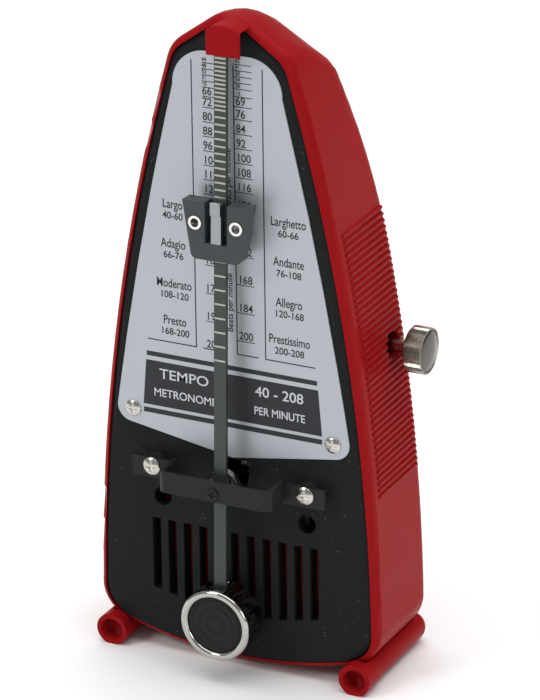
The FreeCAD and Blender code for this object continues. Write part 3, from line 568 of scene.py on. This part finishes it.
class METRONOME_OT_finishes(bpy.types.Operator):
    """Make every finish and put it on the frame's pieces"""

    bl_idname = "metronome.finishes"
    bl_label = "Finishes"

    def execute(self, context):
        colors = context.scene.metronome_finishes
        MATERIALS.update({
            "case_red": red_plastic(tuple(colors.case_red)),
            "panel_black": black_panel(tuple(colors.panel_black)),
            "scale_plate": silver_plate(tuple(colors.plate_silver)),
            "screw_chrome": plated("Screw Plating", (0.58, 0.56, 0.52), 0.14, 0.26),
            "bridge_black": painted("Black Enamel", (0.016, 0.018, 0.019), 0.38, 0.5),
            "rod_steel": drawn_steel("Dark Drawn Steel", (0.05, 0.06, 0.052), 0.3, 0.45, 0.5),
            "hub_steel": drawn_steel("Turned Steel", (0.62, 0.61, 0.58), 0.16, 0.28),
            "cup_chrome": plated("Bright Chrome", (0.50, 0.49, 0.46), 0.08, 0.18),
            "insert_black": painted("Black Disc", (0.014, 0.016, 0.016), 0.4, 0.55),
            "weight_paint": painted("Slate Paint", tuple(colors.weight_slate), 0.3, 0.42, 0.05),
            "pad_steel": drawn_steel("Spring Tongue", (0.33, 0.35, 0.36), 0.3, 0.42),
            "rivet_nickel": plated("Rivet Nickel", (0.80, 0.79, 0.75), 0.12, 0.22),
            "train_brass": drawn_steel("Clock Brass", (0.66, 0.45, 0.16), 0.28, 0.4),
            "spring_steel": drawn_steel("Blued Spring", (0.10, 0.13, 0.22), 0.3, 0.4),
            "knob_nickel": plated("Nickel Plating", (0.44, 0.40, 0.36), 0.12, 0.24),
            # Dark metal for the knob body under the knurl ridges: painted shade in the grooves,
            # where the knob is the same nickel as the ridges
            "knob_groove": plated("Knurl Grooves Painted Shade", (0.13, 0.12, 0.105), 0.2, 0.34),
            "ink": printing_ink("Black Ink", (0.020, 0.021, 0.025)),
            "ink_light": printing_ink("Silver Ink", (0.55, 0.57, 0.60)),
            "notch": plated("Notch Steel", (0.42, 0.42, 0.37), 0.3, 0.4),
        })
        for node, obj in frame["nodes"].items():
            dress(obj, material_for(SLOT_OF[node]))
        return {"FINISHED"}


class METRONOME_OT_case(bpy.types.Operator):
    """Smooth the case, feet and front panel"""

    bl_idname = "metronome.case"
    bl_label = "Case"

    def execute(self, context):
        for node in ("case_shell", "sound_baffle", "left_foot", "right_foot", "front_panel"):
            skin(node, angle=28)
        skin("scale_plate", bevel=0.12 * MM, segments=2)
        return {"FINISHED"}


class METRONOME_OT_printing(bpy.types.Operator):
    """Print the lines, ticks, numbers and tempo words on the scale plate"""

    bl_idname = "metronome.printing"
    bl_label = "Printing"

    def execute(self, context):
        sizes = context.scene.metronome_sizes
        line = sizes.line_width
        half, wing = sizes.frame_half, sizes.wing
        top, low = sizes.print_top, sizes.print_low
        inner, outer = 1.65 * MM, 6.2 * MM
        rects = []
        for side in (-1, 1):
            upright = side * half
            rects.append((upright - line / 2, upright + line / 2, low, top))
            ends = sorted((side * (half - line / 2), side * wing))
            rects.append((*ends, low - line / 2, low + line / 2))
            upright = side * inner
            rects.append((upright - line / 2, upright + line / 2, low, top))
            ends = sorted((side * inner, side * 7.05 * MM))
            rects.append((*ends, low - line / 2, low + line / 2))
        slabs("scale_lines", rects, "case", "scale_plate", material_for("ink"))
        slabs("scale_bars", [
            (-21.8 * MM, 21.8 * MM, 75.35 * MM, 76.5 * MM),
            (-22.9 * MM, 22.9 * MM, 61.0 * MM, 62.25 * MM)],
            "case", "scale_plate", material_for("ink"))
        self.title_block()
        face, centre = plate_front()
        left = [44, 48, 52, 56, 60, 66, 72] + list(range(80, 121, 8))
        left += [132, 144, 160, 176, 192, 208]
        right = [42, 46, 50, 54, 58, 63, 69] + list(range(76, 117, 8))
        right += [126, 138, 152, 168, 184, 200]
        ticks, rows = [], []
        for side, column in ((-1, left), (1, right)):
            for beat in column:
                z = self.height(sizes, beat)
                ticks.append((centre + side * (inner + outer) / 2, face - 0.01 * MM, z))
                small = beat < 66
                rows.append((str(beat), inner + 0.5 * MM if side > 0 else -outer,
                             z + (0.75 if small else 1.25) * MM,
                             (0.95 if small else 1.95) * MM, 0.9, "LEFT", False))
        mesh = grown("scale_ticks", bars_on_points(), {
            "Size": (outer - inner, 0.02 * MM, 0.2 * MM), "Material": material_for("ink")},
            ticks)
        new_piece("scale_ticks", mesh, "case", "scale_plate", material_for("ink"))
        letters("scale_numbers", rows, "case", "scale_plate", material_for("ink"))
        self.tempo_words()
        return {"FINISHED"}

    def height(self, sizes, beat):
        """Height of a tempo on the scale; the slow end is closed up."""
        slow = 66
        if beat >= slow:
            return sizes.beat_zero - beat * sizes.beat_step
        return sizes.beat_zero - slow * sizes.beat_step + (slow - beat) * 0.36 * MM

    def title_block(self):
        """Black block at the foot of the plate with plain words."""
        face, centre = plate_front()
        top, low = 74.25 * MM, 63.05 * MM
        wide, wider = 22.0 * MM, 22.95 * MM
        y, back = face - 0.02 * MM, face
        corners = [(-wide, top), (wide, top), (wider, low), (-wider, low)]
        points = [(centre + x, depth, z) for depth in (y, back) for x, z in corners]
        faces = [(3, 2, 1, 0), (4, 5, 6, 7)]
        faces += [(i, (i + 1) % 4, 4 + (i + 1) % 4, 4 + i) for i in range(4)]
        mesh = bpy.data.meshes.new("title_block")
        mesh.from_pydata(points, [], faces)
        new_piece("title_block", mesh, "case", "scale_plate", material_for("ink"))
        letters("title_words", [
            ("TEMPO", -12.2 * MM, 71.2 * MM, 2.5 * MM, 1.15, "CENTER", False),
            ("METRONOME", -12.0 * MM, 66.4 * MM, 2.0 * MM, 0.95, "CENTER", False),
            ("40 - 208", 12.2 * MM, 71.2 * MM, 2.5 * MM, 1.05, "CENTER", False),
            ("PER MINUTE", 12.2 * MM, 66.4 * MM, 2.0 * MM, 0.85, "CENTER", False)],
            "case", "scale_plate", material_for("ink_light"), lift=0.05 * MM)

    def tempo_words(self):
        """Tempo names with their ranges, and the small upright words."""
        rows = []
        for x, names in ((-14.3, (("Largo", "40-60"), ("Adagio", "66-76"),
                                  ("Moderato", "108-120"), ("Presto", "168-200"))),
                         (14.9, (("Larghetto", "60-66"), ("Andante", "76-108"),
                                 ("Allegro", "120-168"), ("Prestissimo", "200-208")))):
            for (word, span), z in zip(names, (113.5, 103.9, 94.1, 85.0)):
                rows.append((word, x * MM, z * MM, 2.2 * MM, 0.74, "CENTER", False))
                rows.append((span, x * MM, (z - 2.8) * MM, 1.7 * MM, 0.95, "CENTER", False))
        for z in (92.0, 122.0):
            rows.append(("Beats per minute", 0.0, z * MM, 1.5 * MM, 1.0, "CENTER", True))
        letters("tempo_words", rows, "case", "scale_plate", material_for("ink"))


class METRONOME_OT_pendulum(bpy.types.Operator):
    """Finish the rod, its notches, the cup, the hub and the sliding weight"""

    bl_idname = "metronome.pendulum"
    bl_label = "Pendulum"

    def execute(self, context):
        sizes = context.scene.metronome_sizes
        skin("pendulum_rod", bevel=0.12 * MM)
        skin("lower_weight_cup", bevel=0.0, angle=30)
        skin("lower_weight_insert", bevel=0.1 * MM)
        skin("pendulum_hub", bevel=0.25 * MM)
        skin("sliding_weight", bevel=0.3 * MM, segments=3)
        skin("weight_back_plate", bevel=0.1 * MM)
        skin("weight_spring", bevel=0.22 * MM)
        skin("weight_rivets", bevel=0.1 * MM)
        self.notches(sizes)
        self.disc_rings()
        return {"FINISHED"}

    def notches(self, sizes):
        """Light notch lines cut across the rod's face, closer together near the tip."""
        low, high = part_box("pendulum_rod")
        lean = math.tan(ROD_LEAN)
        front = low.y
        centre = (low.x + high.x) / 2
        points = []
        z = high.z - 2.2 * MM
        while z > 78 * MM:
            points.append((centre, front + (z - low.z) * lean + 0.02 * MM, z))
            z -= 1.0 * MM if z > 140 * MM else 1.7 * MM if z > 114 * MM else sizes.notch_pitch
        mesh = grown("rod_notches", bars_on_points(), {
            "Size": (high.x - low.x - 0.35 * MM, 0.1 * MM, 0.42 * MM),
            "Material": material_for("notch")}, points)
        new_piece("rod_notches", mesh, "pendulum", "rod_steel", material_for("notch"))

    def disc_rings(self):
        """Plain raised rings on the black disc of the lower weight."""
        low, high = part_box("lower_weight_insert")
        spot = (low + high) / 2
        shape = bmesh.new()
        for radius in (2.2 * MM, 4.3 * MM, 6.1 * MM):
            around, across = 72, 8
            rows = []
            for i in range(around):
                turn = 2 * math.pi * i / around
                row = []
                for j in range(across):
                    tip = 2 * math.pi * j / across
                    reach = radius + 0.22 * MM * math.cos(tip)
                    row.append(shape.verts.new((spot.x + reach * math.cos(turn),
                                                low.y - 0.16 * MM * math.sin(tip),
                                                spot.z + reach * math.sin(turn))))
                rows.append(row)
            for i in range(around):
                for j in range(across):
                    shape.faces.new((rows[i][j], rows[(i + 1) % around][j],
                                     rows[(i + 1) % around][(j + 1) % across],
                                     rows[i][(j + 1) % across]))
        bmesh.ops.recalc_face_normals(shape, faces=shape.faces)
        mesh = bpy.data.meshes.new("disc_rings")
        shape.to_mesh(mesh)
        shape.free()
        mesh.polygons.foreach_set("use_smooth", [True] * len(mesh.polygons))
        new_piece("disc_rings", mesh, "pendulum", "insert_black")


class METRONOME_OT_fittings(bpy.types.Operator):
    """Finish the bridge, screws and winding knob"""

    bl_idname = "metronome.fittings"
    bl_label = "Fittings"

    def execute(self, context):
        sizes = context.scene.metronome_sizes
        skin("bridge", bevel=0.25 * MM, segments=3)
        for node in ("plate_screws", "bridge_screws", "bearing_screw"):
            skin(node, bevel=0.08 * MM)
        skin("winding_shaft", bevel=0.1 * MM)
        self.knob(sizes)
        return {"FINISHED"}

    def knob(self, sizes):
        """Knob turned a little smaller than the frame's, with knurl ridges up to its size; the
        turned body between the ridges is dark metal, painted shade in the grooves.
        """
        low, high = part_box("winding_knob")
        spot = (low + high) / 2
        radius = (high.z - low.z) / 2
        body = radius - sizes.knurl_deep
        long = high.x - low.x
        profile = [(0.0, 1.7 * MM), (0.0, body - 0.35 * MM), (0.35 * MM, body),
                   (long - 1.25 * MM, body), (long - 0.75 * MM, body - 0.45 * MM)]
        steps = 6
        for i in range(1, steps + 1):
            share = i / steps
            reach = (body - 0.45 * MM) * (1 - share)
            rise = long - 0.75 * MM + 0.75 * MM * (1 - (1 - share) ** 2)
            profile.append((rise, max(reach, 0.0)))
        shape = bmesh.new()
        around = 96
        rings = []
        for x, r in profile:
            if r <= 0:
                rings.append([shape.verts.new((low.x + x, spot.y, spot.z))])
                continue
            rings.append([shape.verts.new((low.x + x, spot.y + r * math.cos(t),
                                           spot.z + r * math.sin(t)))
                          for t in (2 * math.pi * i / around for i in range(around))])
        for first, second in zip(rings, rings[1:]):
            for i in range(around):
                after = (i + 1) % around
                if len(second) == 1:
                    shape.faces.new((first[i], first[after], second[0]))
                else:
                    shape.faces.new((first[i], first[after], second[after], second[i]))
        shape.faces.new(rings[0][::-1])
        bmesh.ops.recalc_face_normals(shape, faces=shape.faces)
        mesh = bpy.data.meshes.new("knob_turning")
        shape.to_mesh(mesh)
        shape.free()
        mesh.polygons.foreach_set("use_smooth", [True] * len(mesh.polygons))
        mesh.set_sharp_from_angle(angle=math.radians(35))
        piece = new_piece("knob_turning", mesh, "winding", "knob_nickel",
                          material_for("knob_groove"))
        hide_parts("winding_knob")
        ridge_long = long - 1.1 * MM
        ridges = grown("knob_knurl", ridges_round(), {
            "Count": sizes.knurl_ridges, "Radius": body, "Length": ridge_long,
            "Depth": sizes.knurl_deep, "Width": 0.12 * MM,
            "Material": material_for("knob_nickel")})
        ridges.transform(Matrix.Translation((low.x + 0.4 * MM + ridge_long / 2, spot.y, spot.z))
                         @ Matrix.Rotation(math.radians(90), 4, "Y"))
        new_piece("knob_knurl", ridges, "winding", "knob_nickel")


class METRONOME_OT_stage(bpy.types.Operator):
    """Floor, lights and camera"""

    bl_idname = "metronome.stage"
    bl_label = "Stage"

    def execute(self, context):
        self.floor()
        self.lights(context)
        self.camera(context)
        return {"FINISHED"}

    def floor(self):
        mesh = bpy.data.meshes.new("floor")
        size = 6.0
        mesh.from_pydata([(-size, -size, 0), (size, -size, 0), (size, size, 0),
                          (-size, size, 0)], [], [(0, 1, 2, 3)])
        obj = bpy.data.objects.new("floor", mesh)
        bpy.context.scene.collection.objects.link(obj)
        material, tree, shader = finish("Pale Floor", (0.93, 0.93, 0.93), specular=0.1)
        shader.inputs["Roughness"].default_value = 0.7
        dress(obj, material)

    def lights(self, context):
        world = bpy.data.worlds.new("Studio")
        world.use_nodes = True
        world.node_tree.nodes["Background"].inputs["Color"].default_value = (1, 1, 1, 1)
        world.node_tree.nodes["Background"].inputs["Strength"].default_value = 0.32
        context.scene.world = world
        context.scene.view_settings.view_transform = "Standard"
        spot = Vector((0, 0, 0.08))
        for name, place, power, size in (
                ("overhead", (0.0, 0.3, 1.7), 40, 2.4),
                ("key", (-0.75, -1.1, 1.0), 7, 0.5),
                ("side", (1.3, -0.5, 0.5), 3.5, 0.5)):
            lamp = bpy.data.lights.new(name, "AREA")
            lamp.energy = power
            lamp.size = size
            obj = bpy.data.objects.new(name, lamp)
            obj.location = place
            obj.rotation_euler = (spot - Vector(place)).to_track_quat("-Z", "Y").to_euler()
            context.scene.collection.objects.link(obj)

    def camera(self, context):
        view = context.scene.metronome_stage
        lens = bpy.data.cameras.new("camera")
        lens.sensor_fit = "VERTICAL"
        lens.sensor_height = 36
        lens.lens = view.lens
        lens.clip_start = 0.01
        turn = Matrix.Rotation(view.azimuth, 4, "Z")
        lift = Matrix.Rotation(math.pi / 2 - view.elevation, 4, "X")
        tip = Matrix.Rotation(view.roll, 4, "Z")
        pose = turn @ lift @ tip
        back = pose @ Vector((0, 0, view.distance))
        obj = bpy.data.objects.new("camera", lens)
        obj.matrix_world = Matrix.Translation(Vector(view.aim) + back) @ pose
        context.scene.collection.objects.link(obj)
        context.scene.camera = obj


class METRONOME_PT_panel(bpy.types.Panel):
    """Sidebar panel with the pieces in order"""

    bl_label = "Metronome"
    bl_idname = "METRONOME_PT_panel"
    bl_space_type = "VIEW_3D"
    bl_region_type = "UI"
    bl_category = "Metronome"

    def draw(self, context):
        for settings in (context.scene.metronome_finishes, context.scene.metronome_sizes,
                         context.scene.metronome_stage):
            for key in settings.__annotations__:
                self.layout.prop(settings, key)
        for step in STEPS:
            self.layout.operator(step.bl_idname)


STEPS = (METRONOME_OT_finishes, METRONOME_OT_case, METRONOME_OT_printing,
         METRONOME_OT_pendulum, METRONOME_OT_fittings, METRONOME_OT_stage)
GROUPS_OF_SETTINGS = {"metronome_finishes": MetronomeFinishes,
                      "metronome_sizes": MetronomeSizes, "metronome_stage": MetronomeStage}


def register():
    for settings in GROUPS_OF_SETTINGS.values():
        bpy.utils.register_class(settings)
    for step in STEPS:
        bpy.utils.register_class(step)
    bpy.utils.register_class(METRONOME_PT_panel)
    for key, settings in GROUPS_OF_SETTINGS.items():
        setattr(bpy.types.Scene, key, PointerProperty(type=settings))


def unregister():
    for key in GROUPS_OF_SETTINGS:
        delattr(bpy.types.Scene, key)
    bpy.utils.unregister_class(METRONOME_PT_panel)
    for step in reversed(STEPS):
        bpy.utils.unregister_class(step)
    for settings in GROUPS_OF_SETTINGS.values():
        bpy.utils.unregister_class(settings)


def main():
    import json
    register()
    bpy.ops.metronome.finishes()
    bpy.ops.metronome.case()
    bpy.ops.metronome.printing()
    bpy.ops.metronome.pendulum()
    bpy.ops.metronome.fittings()
    bpy.ops.metronome.stage()


if __name__ == "__main__":
    main()
